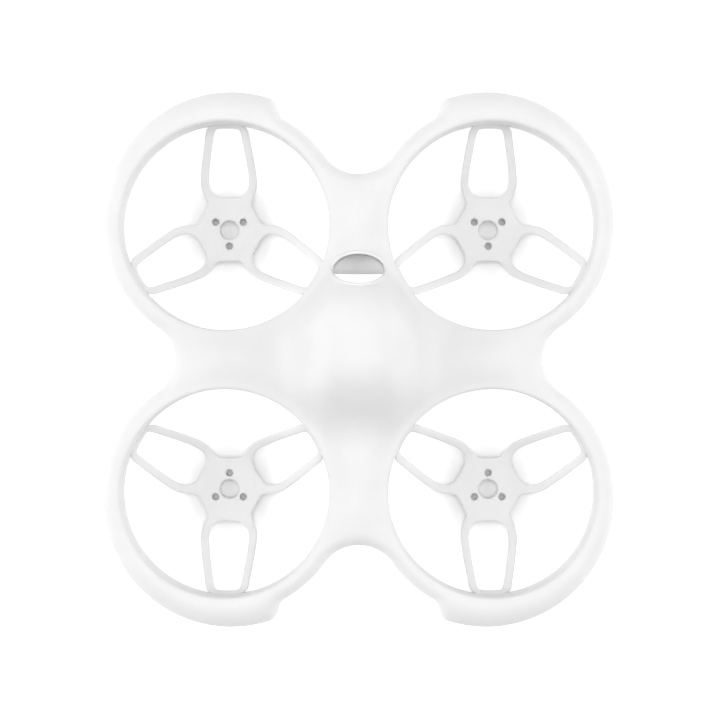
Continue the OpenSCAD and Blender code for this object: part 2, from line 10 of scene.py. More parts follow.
import bpy
import numpy as np
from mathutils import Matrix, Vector, geometry


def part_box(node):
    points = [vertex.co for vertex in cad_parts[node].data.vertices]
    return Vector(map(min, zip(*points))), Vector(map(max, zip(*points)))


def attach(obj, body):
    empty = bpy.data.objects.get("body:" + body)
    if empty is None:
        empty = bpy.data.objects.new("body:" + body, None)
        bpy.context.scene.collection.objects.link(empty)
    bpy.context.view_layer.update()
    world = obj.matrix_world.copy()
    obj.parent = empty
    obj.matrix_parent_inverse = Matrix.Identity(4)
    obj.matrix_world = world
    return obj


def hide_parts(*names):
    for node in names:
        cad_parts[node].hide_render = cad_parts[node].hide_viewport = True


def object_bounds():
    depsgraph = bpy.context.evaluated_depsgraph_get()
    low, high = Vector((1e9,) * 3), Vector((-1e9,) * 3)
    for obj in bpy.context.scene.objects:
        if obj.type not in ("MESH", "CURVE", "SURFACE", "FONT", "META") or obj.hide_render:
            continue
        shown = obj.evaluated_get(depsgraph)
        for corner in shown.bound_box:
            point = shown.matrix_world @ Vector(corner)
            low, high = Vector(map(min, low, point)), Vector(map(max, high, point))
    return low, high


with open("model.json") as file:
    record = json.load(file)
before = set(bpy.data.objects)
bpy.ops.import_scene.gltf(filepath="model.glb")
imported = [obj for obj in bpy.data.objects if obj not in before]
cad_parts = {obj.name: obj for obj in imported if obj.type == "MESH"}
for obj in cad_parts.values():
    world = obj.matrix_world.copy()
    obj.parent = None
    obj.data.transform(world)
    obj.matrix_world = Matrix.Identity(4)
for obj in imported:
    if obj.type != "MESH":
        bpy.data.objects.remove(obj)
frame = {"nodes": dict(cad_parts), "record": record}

cad_box = [list(corner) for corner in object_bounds()]
record, nodes = frame["record"], frame["nodes"]
mounts = {mount["name"]: mount for mount in record["mounts"]}
print("CAD nodes:", len(nodes), "box:", cad_box)

# %% [markdown]
# The camera stands straight above, so the duct lips look a little larger than the motor
# mounts below them. How much larger sets its distance, once a height of the ducts has been
# assumed. Its focal length follows from the width of the view at the hub plates.

# %% Camera
MM = 0.001
HUB_TOP = 2.6 * MM          # height of the hub plates
CAMERA_HEIGHT = 357 * MM    # from the hub plates to the lens
VIEW_WIDTH = 148.5 * MM     # width of the view at the hub plates
SENSOR = 36.0               # width of the film, which the lens is measured against
ASIDE = (0.25 * MM, -0.1 * MM)  # the camera isn't quite over the middle

camera_data = bpy.data.cameras.new("camera")
camera_data.sensor_width = SENSOR
camera_data.lens = SENSOR * CAMERA_HEIGHT / VIEW_WIDTH
camera_data.clip_start = 0.01
camera = bpy.data.objects.new("camera", camera_data)
camera.location = (*ASIDE, HUB_TOP + CAMERA_HEIGHT)
bpy.context.scene.collection.objects.link(camera)
bpy.context.scene.camera = camera
print("lens:", round(camera_data.lens, 1), "mm")

# %% [markdown]
# ## Meshes from arrays
# A surface here is a grid of points, so its quads follow from counting. Points that fall in
# the same place are merged by sorting their rounded coordinates, which closes seams and
# poles. All of it is done on whole arrays, with no loop over vertices.


# %% Grids, welding and new pieces
def grid_quads(rows, columns, start=0, wrap=False):
    """Quads of a grid whose point (row, column) has the number start + row * columns + column."""
    row, column = np.meshgrid(np.arange(rows - 1), np.arange(columns - (not wrap)), indexing="ij")
    after = (column + 1) % columns
    corners = [row * columns + column, (row + 1) * columns + column,
               (row + 1) * columns + after, row * columns + after]
    return start + np.stack(corners, axis=-1).reshape(-1, 4)


def weld(points, faces, nearest=1e-4):
    """Merges points closer than `nearest` (mm) and drops faces that have lost a side."""
    key = np.round(points / nearest).astype(np.int64)
    _, first, back = np.unique(key, axis=0, return_index=True, return_inverse=True)
    merged = [back.reshape(-1)[np.asarray(face)] for face in faces]
    kept = []
    for block in merged:
        following = np.roll(block, -1, axis=1)
        distinct = (block != following).sum(axis=1)
        kept += block[distinct == block.shape[1]].tolist()
        for face in block[(distinct < block.shape[1]) & (distinct > 2)]:
            kept.append([v for v, after in zip(face, np.roll(face, -1)) if v != after])
    return points[first], kept


def new_object(name, points, faces, sharp=40):
    """An object at the origin from points in mm; edges steeper than `sharp` degrees stay crisp."""
    mesh = bpy.data.meshes.new(name)
    mesh.from_pydata((points * MM).tolist(), [], faces)
    mesh.validate()
    mesh.shade_smooth()
    mesh.set_sharp_from_angle(angle=np.radians(sharp))
    thing = bpy.data.objects.new(name, mesh)
    bpy.context.scene.collection.objects.link(thing)
    print(name, len(mesh.vertices), "points,", len(faces), "faces")
    return thing


# %% [markdown]
# ## The canopy shell
# On the real airframe the canopy, the arms, the duct lips and the bumpers are one thin
# moulding. It could be sculpted, or cut from a subdivided cage, but its outline is made of
# true circles and its top is a smooth swelling, so a formula describes it better. The
# outline is four circles round the motor axes, joined by fillets that touch two circles.
# Rays fan out from each motor axis, from the duct's lip to the outline or to the middle of
# the airframe, and the height of each point is a sum of a few simple rises and falls.

# %% Sizes of the shell, in mm
# _R radius, _H height, _Z height over the floor, _OUT beyond the line of two motor axes
hub = np.array(mounts["motor_screws_front_right"]["pos_m"][:2]) / MM
skirt_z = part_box("canopy_shell")[0].z / MM
barrel_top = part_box("duct_front_right")[1].z / MM
DUCT_R, DUCT_WALL, SHELL_T = 20.8, 0.8, 0.9
RIM_R = DUCT_R + 3.6
LIP_Z, LIP_ROLL = 15.6, 0.7
WAIST_OUT, ARCH_OUT = 10.2, 10.6
EDGE_ROLL, EDGE_DROP, BUMPER_DROP = 2.5, 4.2, 1.6
CANOPY_H, CROWN_Y, CANOPY_W = 14.7, 2.0, 11.0
NOSE_REACH, TAIL_REACH, SIDE_RAMP, RIDGE_H = 14.9, 12.2, 3.5, 1.4
RIDGE_REACH, INNER_LIP_ROLL = 5, 0.3
BUMPER_REACH, BUMPER_FROM, BUMPER_FULL, BUMPER_END, BUMPER_STEP = 3.1, -20, 115, 109, 9.5
STEEPEST = 2.2      # the inner skin follows slopes only up to this, so that it never folds
SLOPE_STEP = 0.05   # half the span over which a slope is measured


def fillet_radius(across, out):
    """Radius of the circle that touches two rims and lies `out` beyond their line."""
    return (across ** 2 + out ** 2 - RIM_R ** 2) / (2 * (RIM_R - out))


waist_r, arch_r = fillet_radius(hub[1], WAIST_OUT), fillet_radius(hub[0], ARCH_OUT)
waist_at = np.array([hub[0] + WAIST_OUT + waist_r, 0.0])
arch_at = np.array([0.0, hub[1] + ARCH_OUT + arch_r])
waist_turn = np.degrees(np.arctan2(-hub[1], waist_at[0] - hub[0]))
arch_turn = np.degrees(np.arctan2(arch_at[1] - hub[1], -hub[0]))
print("hub", hub, "fillets", waist_r.round(2), arch_r.round(2))

# %% [markdown]
# The height of the skin is a sum. A dome and the ridges along the arms are added to the
# height of the lips, and a quarter ellipse is taken off along each edge so that it rolls
# over. The bumpers change only the outline and how deep the outer edge drops.


# %% Rises and falls
def ease(t):
    """0 below 0, 1 above 1, and 3t^2 - 2t^3 between."""
    t = np.clip(t, 0, 1)
    return t * t * (3 - 2 * t)


def roll(high, wide, far):
    """The drop of a quarter ellipse: `high` at its edge, 0 from `wide` inwards."""
    v = np.clip(1 - far / wide, 0, 1)
    return high * (1 - np.sqrt(1 - v * v))


def bumper(turn):
    """How much of the bumper stands at this angle round a motor axis, from 0 to 1."""
    grow = ease((turn - BUMPER_FROM) / (BUMPER_FULL - BUMPER_FROM))
    return grow * (1 - ease((turn - BUMPER_END) / BUMPER_STEP))


def around(x, y):
    """Distance and angle of points from the motor axis of their own quarter."""
    dx, dy = np.abs(x) - hub[0], np.abs(y) - hub[1]
    return np.hypot(dx, dy), np.degrees(np.arctan2(dy, dx))


def edge_far(x, y):
    """Distance inwards from the outline: to the rim's circle outside, else to a fillet."""
    far, turn = around(x, y)
    to_waist = np.hypot(np.abs(x) - waist_at[0], y) - waist_r
    to_arch = np.hypot(x, np.abs(y) - arch_at[1]) - arch_r
    outside = (turn > waist_turn) & (turn < arch_turn)
    return np.where(outside, RIM_R + BUMPER_REACH * bumper(turn) - far,
                    np.minimum(to_waist, to_arch))


def rise(x, y):
    """Height over the lips: a dome that falls off as exp(-distance^power) along and across,
    plus ridges along the arms, both let down to nothing at the duct lips."""
    from_lip = np.maximum(0, around(x, y)[0] - DUCT_R)
    ramp = 1 - np.exp(-(from_lip / SIDE_RAMP) ** 2)
    along = np.where(y > CROWN_Y, np.exp(-(np.abs(y - CROWN_Y) / NOSE_REACH) ** 4),
                     np.exp(-(np.abs(y - CROWN_Y) / TAIL_REACH) ** 3))
    across = np.exp(-(np.abs(x) / CANOPY_W) ** 4)
    inland = 1 - np.exp(-(np.maximum(0, edge_far(x, y)) / RIDGE_REACH) ** 2)
    return ramp * (CANOPY_H * along * across + RIDGE_H * inland)


def skin_z(x, y, inset, far=None):
    """Height of the outer skin (inset 0) or of the inner one, a wall's thickness below it."""
    away, turn = around(x, y)
    swell = bumper(turn)
    far = edge_far(x, y) if far is None else far
    step = SLOPE_STEP
    steep = np.hypot(rise(x + step, y) - rise(x - step, y),
                     rise(x, y + step) - rise(x, y - step)) / (2 * step)
    lip = INNER_LIP_ROLL if inset else LIP_ROLL
    return (LIP_Z + rise(x, y) - inset * np.sqrt(1 + np.minimum(STEEPEST, steep) ** 2)
            - roll(lip, lip, away - DUCT_R - inset)
            - roll(EDGE_DROP + BUMPER_DROP * swell,
                   EDGE_ROLL + BUMPER_REACH * swell - inset, far - inset))


# %% [markdown]
# Each quarter is one grid. Its rows run outwards and its columns are the rays, which are
# spread between three corners: the side waist, the front or rear arch, and the middle of
# the airframe. Mirroring the grid by the signs of x and y gives the other quarters.

# %% The shell as two skins
QUARTERS = ((1, 1), (-1, 1), (-1, -1), (1, -1))
RAYS_OUT, RAYS_IN = 208, 46
SHELL_SHARP = 50    # degrees


def rays(inset):
    """Angle and length of each ray: it ends at the outline, or at a plane of symmetry."""
    first = np.arctan2(-hub[1], WAIST_OUT - inset)
    last = np.arctan2(ARCH_OUT - inset, -hub[0])
    middle = np.pi + np.arctan2(hub[1], hub[0])
    turn = np.concatenate([
        np.linspace(first, last, RAYS_OUT, endpoint=False),
        np.linspace(last, middle, RAYS_IN, endpoint=False),
        np.linspace(middle, first + 2 * np.pi, RAYS_IN, endpoint=False)])
    heading = np.stack([np.cos(turn), np.sin(turn)])
    degrees = np.degrees(turn)

    def to_fillet(at, radius):
        """Where the ray meets a circle: b - sqrt(b^2 - c^2 + r^2), for the nearer root."""
        offset = at - hub
        along = offset @ heading
        return along - np.sqrt(np.maximum(0, along ** 2 - offset @ offset + radius ** 2))

    length = RIM_R + BUMPER_REACH * bumper(degrees) - inset
    length = np.where(degrees < waist_turn, to_fillet(waist_at, waist_r + inset), length)
    length = np.where(degrees > arch_turn, to_fillet(arch_at, arch_r + inset), length)
    order = np.arange(len(turn))
    to_x0, to_y0 = -hub[0] / heading[0], -hub[1] / heading[1]
    length = np.where(order >= RAYS_OUT, to_x0, length)
    return heading, np.where(order > RAYS_OUT + RAYS_IN, to_y0, length)


def skin(side, inset, rows):
    """A quarter of one skin: [row, ray, xyz]. Row 0 is the foot of the lip and the last row
    is the foot of the skirt. Rows crowd towards both ends by half a cosine."""
    heading, length = rays(inset)
    order = np.arange(len(length))
    share = (1 - np.cos(np.pi * np.linspace(0, 1, rows))) / 2
    start = DUCT_R + inset
    away = start + (length - start) * share[:, None]
    x, y = hub[0] + away * heading[0], hub[1] + away * heading[1]
    x[-1, (order >= RAYS_OUT) & (order <= RAYS_OUT + RAYS_IN)] = 0
    y[-1, (order >= RAYS_OUT + RAYS_IN) | (order == 0)] = 0
    x, y = side[0] * x, side[1] * y
    far = edge_far(x, y)
    far[-1, :RAYS_OUT + 1] = inset
    z = skin_z(x, y, inset, far)
    top = np.stack([x, y, z], axis=-1)
    lip_foot, skirt_foot = top[:1].copy(), top[-1:].copy()
    lip_foot[..., 2], skirt_foot[..., 2] = barrel_top, skirt_z
    return np.concatenate([lip_foot, top, skirt_foot])


def shell_mesh(rows_outer=38, rows_inner=16):
    """Both skins of all four quarters, joined at the foot of the lips and of the skirt."""
    points, quads, start = [], [], 0
    columns = RAYS_OUT + 2 * RAYS_IN
    for side in QUARTERS:
        feet = []
        for inset, rows in ((0, rows_outer), (SHELL_T, rows_inner)):
            grid = skin(side, inset, rows)
            faces = grid_quads(rows + 1, columns, start, wrap=True)
            skirt = grid_quads(2, columns, start + rows * columns, wrap=True)[:RAYS_OUT]
            faces = np.concatenate([faces, skirt])
            flip = (side[0] * side[1] < 0) != (inset > 0)
            quads.append(faces[:, ::-1] if flip else faces)
            feet.append((start, start + (rows + 1) * columns))
            points.append(grid.reshape(-1, 3))
            start += grid.shape[0] * columns
        ray = np.arange(columns)
        after = (ray + 1) % columns
        (lip_a, skirt_a), (lip_b, skirt_b) = feet
        lip = np.stack([lip_a + ray, lip_a + after, lip_b + after, lip_b + ray], axis=-1)
        hem = np.stack([skirt_a + after, skirt_a + ray, skirt_b + ray, skirt_b + after],
                       axis=-1)[:RAYS_OUT]
        closing = np.concatenate([lip, hem])
        quads.append(closing[:, ::-1] if side[0] * side[1] < 0 else closing)
    return weld(np.concatenate(points), quads)


shell = new_object("canopy", *shell_mesh(), sharp=SHELL_SHARP)

# %% [markdown]
# The camera looks out through an oval hole in the sloping nose. The mould shuts it off with
# a core that slides straight up, so an upright oval cutter takes it out of the finished
# shell. The cut leaves a square edge, which a thin rounded bead then softens, as a moulded
# rim is.


# %% The camera opening
OPENING_HALF_W, OPENING_HALF_L, OPENING_Y = 5.15, 3.1, 17.8
OPENING_STEPS, CUT_UNDER = 120, 0.4
BEAD_R = 0.4
BEAD_OUT, BEAD_SUNK = BEAD_R * 0.8, BEAD_R * 0.6
opening_turn = np.linspace(0, 2 * np.pi, OPENING_STEPS, endpoint=False)
opening_x = OPENING_HALF_W * np.cos(opening_turn)
opening_y = OPENING_Y + OPENING_HALF_L * np.sin(opening_turn)


def opening_ring(z, grown=0.0):
    """The opening's outline, grown outwards, at one height or a height for each point."""
    normal = np.stack([opening_x * OPENING_HALF_L ** 2,
                       (opening_y - OPENING_Y) * OPENING_HALF_W ** 2])
    x, y = np.stack([opening_x, opening_y]) + grown * normal / np.linalg.norm(normal, axis=0)
    return np.stack([x, y, z + 0 * x], axis=-1)


def tube_mesh(path, radius, sides=14):
    """A closed tube: at each point of a closed path, a circle square to the path."""
    ahead = np.roll(path, -1, axis=0) - np.roll(path, 1, axis=0)
    ahead /= np.linalg.norm(ahead, axis=1)[:, None]
    out = np.cross(ahead, (0, 0, 1))
    out /= np.linalg.norm(out, axis=1)[:, None]
    up = np.cross(out, ahead)
    turn = np.linspace(0, 2 * np.pi, sides, endpoint=False)[:, None, None]
    ring = np.cos(turn) * out + np.sin(turn) * up
    points = (path + np.reshape(radius, (-1, 1)) * ring).transpose(1, 0, 2)
    index = np.concatenate([np.arange(len(path)), [0]])[:, None] * sides + np.arange(sides)
    beside = np.roll(index, -1, axis=1)
    quads = np.stack([index[:-1], index[1:], beside[1:], beside[:-1]], axis=-1)
    return points.reshape(-1, 3), quads.reshape(-1, 4)


def cut(thing, cutter):
    """Takes the cutter out of an object's mesh for good, and removes the cutter."""
    modifier = thing.modifiers.new("cut", "BOOLEAN")
    modifier.operation, modifier.solver, modifier.object = "DIFFERENCE", "EXACT", cutter
    graph = bpy.context.evaluated_depsgraph_get()
    mesh = bpy.data.meshes.new_from_object(thing.evaluated_get(graph))
    thing.modifiers.clear()
    thing.data = mesh
    bpy.data.objects.remove(cutter)


def merge_into(thing, points, faces):
    """Adds a closed mesh to an object's mesh, as another shell of the same piece."""
    extra = new_object("extra", points, faces)
    with bpy.context.temp_override(active_object=thing, selected_editable_objects=[thing, extra]):
        bpy.ops.object.join()

# %% [markdown]
# The cutter is a prism with two flat caps. The bead's path runs just outside the hole and
# takes its height from the skin's own formula, so it lies in the skin all the way round.

# %% Cutting the opening and rounding its edge
walls = grid_quads(2, OPENING_STEPS, wrap=True).tolist()
caps = [list(range(OPENING_STEPS - 1, -1, -1)), list(range(OPENING_STEPS, 2 * OPENING_STEPS))]
cutter_points = np.concatenate([opening_ring(LIP_Z - CUT_UNDER), opening_ring(LIP_Z + CANOPY_H)])
cut(shell, new_object("cutter", cutter_points, [quad[::-1] for quad in walls] + caps))
bead_path = opening_ring(0, grown=BEAD_OUT)
bead_path[:, 2] = skin_z(bead_path[:, 0], bead_path[:, 1], 0) - BEAD_SUNK
bead, bead_quads = tube_mesh(bead_path, np.full(OPENING_STEPS, BEAD_R))
merge_into(shell, bead, bead_quads.tolist())
shell.data.set_sharp_from_angle(angle=np.radians(SHELL_SHARP))
print("bead from z", bead_path[:, 2].min().round(2), "to", bead_path[:, 2].max().round(2))

# %% [markdown]
# ## Duct barrels
# A duct's barrel is a plain tube with a flange and softened edges. A profile turned round
# the motor axis gives it exactly. The corners of the profile are rounded by short arcs,
# because a moulded edge always catches a thin line of light.


# %% Rounded outlines and turned shapes
def rounded(corners, radius, steps=5):
    """A closed outline with each corner replaced by a curve: at corner c, between the points
    `radius` along its two sides, the curve is (1-t)^2 a + 2t(1-t) c + t^2 b."""
    corners = np.asarray(corners, float)
    before, after = np.roll(corners, 1, axis=0), np.roll(corners, -1, axis=0)

    def towards(other):
        """The point `radius` along each side, but never past the side's middle."""
        way = other - corners
        size = np.linalg.norm(way, axis=1)[:, None]
        return corners + way / size * np.minimum(np.reshape(radius, (-1, 1)), size * 0.48)

    t = np.linspace(0, 1, steps)[:, None, None]
    curve = (1 - t) ** 2 * towards(before) + 2 * t * (1 - t) * corners + t ** 2 * towards(after)
    return curve.transpose(1, 0, 2).reshape(-1, 2)


def turned(profile, steps=240):
    """A profile of (radius, height) turned round the z axis: x = r cos a, y = r sin a."""
    turn = np.linspace(0, 2 * np.pi, steps, endpoint=False)
    r, z = np.asarray(profile)[:, :1], np.asarray(profile)[:, 1:]
    points = np.stack([r * np.cos(turn), r * np.sin(turn), z + 0 * turn], axis=-1)
    count = len(profile)
    index = np.arange(count * steps).reshape(count, steps)
    index = np.concatenate([index, index[:1]])
    beside = np.roll(index, -1, axis=1)
    quads = np.stack([index[:-1], beside[:-1], beside[1:], index[1:]], axis=-1)
    return points.reshape(-1, 3), quads.reshape(-1, 4)


barrel_foot = 8.0
barrel_r = DUCT_R + DUCT_WALL
FLANGE_OUT, FLANGE_FROM, FLANGE_TO = 0.7, 1, 2.2
flange_r = barrel_r + FLANGE_OUT
flange_low, flange_high = barrel_foot + FLANGE_FROM, barrel_foot + FLANGE_TO
barrel_profile = rounded([
    (DUCT_R, barrel_foot), (barrel_r, barrel_foot), (barrel_r, flange_low),
    (flange_r, flange_low), (flange_r, flange_high), (barrel_r, flange_high),
    (barrel_r, barrel_top), (DUCT_R, barrel_top)],
    [0.35, 0.3, 0.15, 0.2, 0.2, 0.15, 0.05, 0.05])

# %% [markdown]
# ## Motor mounts
# A motor mount is a small star: a hub plate with three spokes, and each spoke is an
# arch-ended window between two struts that climb to the duct. Its outline is cut from a few
# points per spoke, smoothed by cutting corners again and again. The plan is filled with
# triangles, and two sheets are lifted from it, so that every edge is rounded.

# %% Outline of the star, in mm from the motor axis
screw_dims = mounts["motor_screws_front_right"]["dims"]
SCREW_CIRCLE_R, SCREW_HOLE_R = screw_dims["pcd_mm"] / 2, screw_dims["hole_r_mm"]
SHAFT_HOLE_R = mounts["shaft_hole_front_right"]["dims"]["r_mm"]
HUB_FLAT, SPOKE_TURNS = 6.35, (90, 210, 330)
PLATE_T, SPOKE_T, SPOKE_TIP = HUB_TOP / MM, 1.6, 21.2
EDGE_SPACING = 0.22     # between points along an outline
# one side of a spoke along +x, from the middle of the hub's flat out to the duct
SPOKE_SIDE = [(4.75, 4.6), (5.5, 4.5), (7.4, 5.35), (9.4, 5.9), (13.2, 5.45), (17.2, 4.75),
              (SPOKE_TIP, 4.0)]
# one side of its window, from the hub's end to the duct's end
WINDOW_SIDE = [(6.6, 0.9), (6.75, 2.3), (7.9, 3.75), (9.7, 4.25), (13.2, 3.8), (17.2, 3.1),
               (19.9, 2.6), (20.2, 1.6)]


def smoothed(points, times=3):
    """Cuts every corner of a closed outline at a quarter and three quarters of its sides."""
    points = np.asarray(points, float)
    for _ in range(times):
        after = np.roll(points, -1, axis=0)
        points = np.stack([0.75 * points + 0.25 * after, 0.25 * points + 0.75 * after],
                          axis=1).reshape(-1, 2)
    return points


def spun(points, degrees):
    """Points turned about the motor axis."""
    a = np.radians(degrees)
    return np.asarray(points) @ np.array([[np.cos(a), np.sin(a)], [-np.sin(a), np.cos(a)]])


def circle(radius, count, at=(0, 0)):
    """A circle of `count` points, anticlockwise."""
    a = np.linspace(0, 2 * np.pi, count, endpoint=False)
    return np.stack([at[0] + radius * np.cos(a), at[1] + radius * np.sin(a)], axis=-1)


def evenly(outline, spacing):
    """The same closed outline with points at an even spacing along it."""
    closed = np.concatenate([outline, outline[:1]])
    run = np.concatenate([[0], np.cumsum(np.linalg.norm(np.diff(closed, axis=0), axis=1))])
    at = np.linspace(0, run[-1], int(run[-1] / spacing), endpoint=False)
    return np.stack([np.interp(at, run, closed[:, 0]), np.interp(at, run, closed[:, 1])], axis=-1)


def star_outlines():
    """The star's own outline, then its windows and round holes."""
    side = np.array(SPOKE_SIDE)
    spoke = np.concatenate([side * (1, -1), side[::-1]])
    star = np.concatenate([spun(spoke, a) for a in SPOKE_TURNS])
    window = np.array(WINDOW_SIDE)
    window = smoothed(np.concatenate([window * (1, -1), window[::-1]]))
    holes = [evenly(spun(window, a), EDGE_SPACING) for a in SPOKE_TURNS]
    holes.append(circle(SHAFT_HOLE_R, 56))
    holes += [circle(SCREW_HOLE_R, 26, spun([(SCREW_CIRCLE_R, 0)], a + 180)[0])
              for a in SPOKE_TURNS]
    return [evenly(smoothed(star), EDGE_SPACING)] + holes

# %% [markdown]
# The plan is filled with a staggered field of points, with finer rings just inside each
# outline where the edge is rounded. A Delaunay triangulation keeps the outlines as edges.
# An edge that only one triangle uses is then a border, and gets a wall.


# %% Filling the plan and lifting two sheets
def nearest_edge(points, outlines):
    """Distance from each point to the nearest stretch of any outline."""
    start = np.concatenate(outlines)
    way = np.concatenate([np.roll(o, -1, axis=0) for o in outlines]) - start
    best = np.full(len(points), np.inf)
    for block in np.array_split(np.arange(len(points)), 12):
        gap = points[block, None] - start
        t = np.clip((gap * way).sum(-1) / (way * way).sum(-1), 0, 1)
        best[block] = np.linalg.norm(gap - t[..., None] * way, axis=-1).min(axis=1)
    return best


def inside(points, outlines):
    """Even-odd test: how many outline stretches a line towards +x crosses."""
    start = np.concatenate(outlines)
    end = np.concatenate([np.roll(o, -1, axis=0) for o in outlines])
    y = points[:, 1:2]
    spans = (start[:, 1] > y) != (end[:, 1] > y)
    slope = np.where(spans, end[:, 1] - start[:, 1], 1)
    meets = start[:, 0] + (y - start[:, 1]) / slope * (end[:, 0] - start[:, 0])
    return ((spans & (points[:, :1] < meets)).sum(axis=1) % 2) == 1


def inset_ring(outline, far):
    """The outline moved to its inner left by `far`, along the normals of its sides."""
    way = np.roll(outline, -1, axis=0) - np.roll(outline, 1, axis=0)
    way /= np.linalg.norm(way, axis=1)[:, None]
    return outline + far * np.stack([-way[:, 1], way[:, 0]], axis=-1)


def area(outline):
    """Twice the signed area, x1 y2 - x2 y1 summed: positive for an anticlockwise outline."""
    x, y = outline.T
    return (x * np.roll(y, -1) - y * np.roll(x, -1)).sum()


EDGE_ROUND = 0.45
RINGS_IN, RING_SLACK = (0.05, 0.16, 0.32), 0.02
FIELD_HALF, FIELD_SPACING = 22, 0.42
SPOKE_FOOT, SPOKE_RISE = HUB_FLAT + 0.4, barrel_foot + 0.95 - PLATE_T / 2
BEND_SOFT, SPOKE_EXTRA = 0.7, 0.08
THIN_FROM, THIN_OVER = 0.6, 2.6


def star_mesh():
    """The plan's triangles, lifted by the half thickness at each point. Towards an edge the
    half thickness falls along a quarter circle: h - e + sqrt(e^2 - (e - d)^2)."""
    outlines = star_outlines()
    outlines = [o if (area(o) > 0) == (k == 0) else o[::-1] for k, o in enumerate(outlines)]
    fine = [ring[nearest_edge(ring, outlines) > far - RING_SLACK]
            for o in outlines for far in RINGS_IN for ring in [inset_ring(o, far)]]
    line = np.arange(-FIELD_HALF, FIELD_HALF, FIELD_SPACING)
    x, y = np.meshgrid(line, line)
    odd_row = np.arange(x.size) // x.shape[1] % 2
    field = np.stack([x.ravel() + FIELD_SPACING / 2 * odd_row, y.ravel()], axis=-1)
    field = field[inside(field, outlines)]
    field = field[nearest_edge(field, outlines) > EDGE_ROUND]
    points = np.concatenate(outlines + fine + [field])
    edges, at = [], 0
    for outline in outlines:
        ring = np.arange(at, at + len(outline))
        edges += np.stack([ring, np.roll(ring, -1)], axis=-1).tolist()
        at += len(outline)
    made = geometry.delaunay_2d_cdt([Vector(p) for p in points.tolist()], edges, [], 0, 1e-6)
    plan = np.array([tuple(v) for v in made[0]])
    faces = np.array([f for f in made[2] if len(f) == 3])
    faces = faces[inside(plan[faces].mean(axis=1), outlines)]
    one_way = faces[:, [0, 1, 1, 2, 2, 0]].reshape(-1, 2)
    back = one_way[:, 1] * len(plan) + one_way[:, 0]
    wall = one_way[~np.isin(one_way[:, 0] * len(plan) + one_way[:, 1], back)]
    far = nearest_edge(plan, outlines)
    far[wall.ravel()] = 0
    middle, half = star_heights(plan, far)
    top = np.column_stack([plan, middle + half])
    under = np.column_stack([plan, middle - half])
    walls = np.stack([wall[:, 0], wall[:, 0] + len(plan), wall[:, 1] + len(plan), wall[:, 1]],
                     axis=-1)
    return np.concatenate([top, under]), faces, faces[:, ::-1] + len(plan), walls


def star_heights(plan, far):
    """Height of the middle sheet and half the thickness: flat on the hub, then a straight
    climb to the duct, with the bend and the change of thickness eased over a few mm."""
    away = np.linalg.norm(plan, axis=1)
    slope = SPOKE_RISE / (barrel_r - SPOKE_FOOT)
    climb = slope * BEND_SOFT * np.logaddexp(0, (away - SPOKE_FOOT) / BEND_SOFT)
    thinned = ease((away - SPOKE_FOOT + THIN_FROM) / THIN_OVER)
    half = PLATE_T / 2 + (SPOKE_T / 2 + SPOKE_EXTRA - PLATE_T / 2) * thinned
    edge = np.minimum(EDGE_ROUND, half * 0.9)
    near = np.clip(1 - far / edge, 0, 1)
    return PLATE_T / 2 + climb, half - edge + edge * np.sqrt(1 - near ** 2)


star_points, star_top, star_under, star_walls = star_mesh()
print("star:", len(star_points), "points,", len(star_top) * 2 + len(star_walls), "faces")

# %% [markdown]
# The four mounts are one design: the rear pair is the front pair turned end for end, so that
# a spoke always points straight forward or straight back. A mirror by a negative number
# turns a mesh inside out, so its faces are listed the other way round.


# %% Four duct mouldings
def duct_piece(name, side):
    """The barrel and the star at one motor axis, as one object of two closed shells."""
    flip = (1, side[1], 1)
    barrel, barrel_quads = turned(barrel_profile)
    points = np.concatenate([star_points * flip, barrel])
    move = np.array([side[0] * hub[0], side[1] * hub[1], 0])
    order = slice(None, None, -1) if side[1] < 0 else slice(None)
    faces = [f[:, order].tolist() for f in (star_top, star_under, star_walls)]
    faces.append((barrel_quads + len(star_points)).tolist())
    return new_object(name, points + move, sum(faces, []), sharp=42)


DUCTS = {"front_left": (-1, 1), "front_right": (1, 1), "rear_left": (-1, -1),
         "rear_right": (1, -1)}
ducts = {place: duct_piece("ring_" + place, side) for place, side in DUCTS.items()}

# %% [markdown]
# ## The scoop under the opening
# Through the opening one sees a shallow bowl, cut off straight at its rear, with the open
# slot behind it. It is a piece of a hollow ball. Polar rows from its middle would bunch up
# at the cut, so strips from the cut to the rim make its two skins, and a hem closes them.


# %% Nose scoop
SCOOP_T, SCOOP_EDGE_Y, SCOOP_DEEP, SCOOP_DROP = 0.7, 17.1, 2.2, 1.3
SCOOP_SLOPE = np.radians(20)
rim_lean = np.array([0, np.sin(SCOOP_SLOPE), np.cos(SCOOP_SLOPE)])
scoop_rim = np.array([0, OPENING_Y + OPENING_HALF_L - OPENING_HALF_W * np.cos(SCOOP_SLOPE),
                      LIP_Z - SCOOP_DROP + OPENING_HALF_W * np.sin(SCOOP_SLOPE)])
scoop_r = (OPENING_HALF_W ** 2 + SCOOP_DEEP ** 2) / (2 * SCOOP_DEEP)
ball = scoop_rim + (scoop_r - SCOOP_DEEP) * rim_lean


